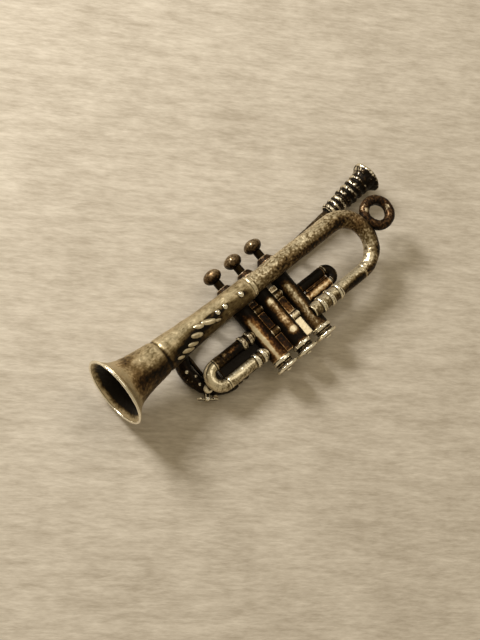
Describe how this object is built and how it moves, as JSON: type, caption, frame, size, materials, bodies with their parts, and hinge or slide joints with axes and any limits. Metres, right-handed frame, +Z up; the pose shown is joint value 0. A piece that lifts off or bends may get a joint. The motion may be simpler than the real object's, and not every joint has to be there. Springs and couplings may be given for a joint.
{
  "type": "trumpet charm",
  "caption": "Miniature piston-valve trumpet with a flared bell, leadpipe, pull-out slides, sprung finger buttons, a water key and a hanging eyelet on its bow.",
  "frame": {"origin": "on the surface that the miniature lies on, under the middle of its bounding box", "axes": "+X from the bell to the mouthpiece, +Y towards the finger buttons, +Z up from the surface, out of the player's left side, and along the eyelet's hole"},
  "size_m": [0.0378, 0.0128, 0.008],
  "materials": {
    "antique_silver": "antiqued silver: bright worn highlights over a dark brown-black patina, slightly pitted",
    "blackened_silver": "the same metal in the recesses, where the patina is left nearly black",
    "worn_bronze": "brown antique patina with warm bronze where it is worn through",
    "bright_sliding_metal": "bare bright metal, polished by sliding",
    "spring_wire": "bright drawn wire",
    "cork": "fine-grained cork"
  },
  "bodies": {
    "trumpet": {"bell": "antique_silver", "bell_rim_wire": "antique_silver", "bell_ferrule": "antique_silver", "bell_tube": "antique_silver", "bell_bow": "antique_silver", "return_tube": "antique_silver", "return_ferrules": "antique_silver", "eyelet": "antique_silver", "leadpipe": "blackened_silver", "mouthpiece_receiver": "blackened_silver", "valve_casing_1": "worn_bronze", "valve_casing_2": "worn_bronze", "valve_casing_3": "worn_bronze", "casing_knuckles": "antique_silver", "casing_webs": "worn_bronze", "top_cap_1": "blackened_silver", "top_cap_2": "blackened_silver", "top_cap_3": "blackened_silver", "bottom_cap_1": "antique_silver", "bottom_cap_2": "antique_silver", "bottom_cap_3": "antique_silver", "valve_spring_1": "spring_wire", "valve_spring_2": "spring_wire", "valve_spring_3": "spring_wire", "bell_saddles": "blackened_silver", "leadpipe_saddles": "blackened_silver", "bell_braces": "blackened_silver", "tuning_lower_tube": "blackened_silver", "tuning_ferrules": "blackened_silver", "third_slide_tubes": "antique_silver", "third_slide_ferrules": "antique_silver", "first_slide_tubes": "worn_bronze", "second_slide_tubes": "antique_silver"},
    "valve_1": {"piston_1": "bright_sliding_metal", "valve_stem_1": "bright_sliding_metal", "finger_button_1": "antique_silver"},
    "valve_2": {"piston_2": "bright_sliding_metal", "valve_stem_2": "bright_sliding_metal", "finger_button_2": "antique_silver"},
    "valve_3": {"piston_3": "bright_sliding_metal", "valve_stem_3": "bright_sliding_metal", "finger_button_3": "antique_silver"},
    "tuning_slide": {"tuning_slide_bow": "blackened_silver", "tuning_slide_legs": "bright_sliding_metal", "tuning_slide_brace": "blackened_silver", "water_key_nipple": "antique_silver", "water_key_saddle": "antique_silver", "water_key_pin": "bright_sliding_metal"},
    "third_slide": {"third_slide_bow": "antique_silver", "third_slide_legs": "bright_sliding_metal"},
    "first_slide": {"first_slide_bow": "blackened_silver", "first_slide_legs": "bright_sliding_metal"},
    "second_slide": {"second_slide_bow": "antique_silver", "second_slide_legs": "bright_sliding_metal"},
    "water_key": {"water_key_lever": "antique_silver", "water_key_cork": "cork"},
    "mouthpiece": {"mouthpiece": "antique_silver"}
  },
  "joints": [
    {"name": "valve_1_press", "type": "slide", "parent": "trumpet", "child": "valve_1", "axis": [0, -1, 0], "range_m": [0, 0.00075], "stiffness_N_per_m": 20, "springref_m": -0.0008, "deforming": ["valve_spring_1"]},
    {"name": "valve_2_press", "type": "slide", "parent": "trumpet", "child": "valve_2", "axis": [0, -1, 0], "range_m": [0, 0.00075], "stiffness_N_per_m": 20, "springref_m": -0.0008, "deforming": ["valve_spring_2"]},
    {"name": "valve_3_press", "type": "slide", "parent": "trumpet", "child": "valve_3", "axis": [0, -1, 0], "range_m": [0, 0.00075], "stiffness_N_per_m": 20, "springref_m": -0.0008, "deforming": ["valve_spring_3"]},
    {"name": "tuning_slide_pull", "type": "slide", "parent": "trumpet", "child": "tuning_slide", "axis": [-1, 0, 0], "range_m": [0, 0.002]},
    {"name": "third_slide_pull", "type": "slide", "parent": "trumpet", "child": "third_slide", "axis": [-1, 0, 0], "range_m": [0, 0.0022]},
    {"name": "first_slide_pull", "type": "slide", "parent": "trumpet", "child": "first_slide", "axis": [1, 0, 0], "range_m": [0, 0.0016]},
    {"name": "second_slide_pull", "type": "slide", "parent": "trumpet", "child": "second_slide", "axis": [-0.6428, 0, -0.766], "range_m": [0, 0.0003]},
    {"name": "water_key_open", "type": "hinge", "parent": "tuning_slide", "child": "water_key", "pos_m": [-0.01089, -0.00339, 0.00076], "axis": [0, 0, -1], "range_deg": [0, 24], "stiffness_Nm_per_rad": 0.00002, "springref_deg": -17.19},
    {"name": "mouthpiece_pull", "type": "slide", "parent": "trumpet", "child": "mouthpiece", "axis": [0.9934, 0.0854, 0.0769], "range_m": [0, 0.0008]}
  ]
}
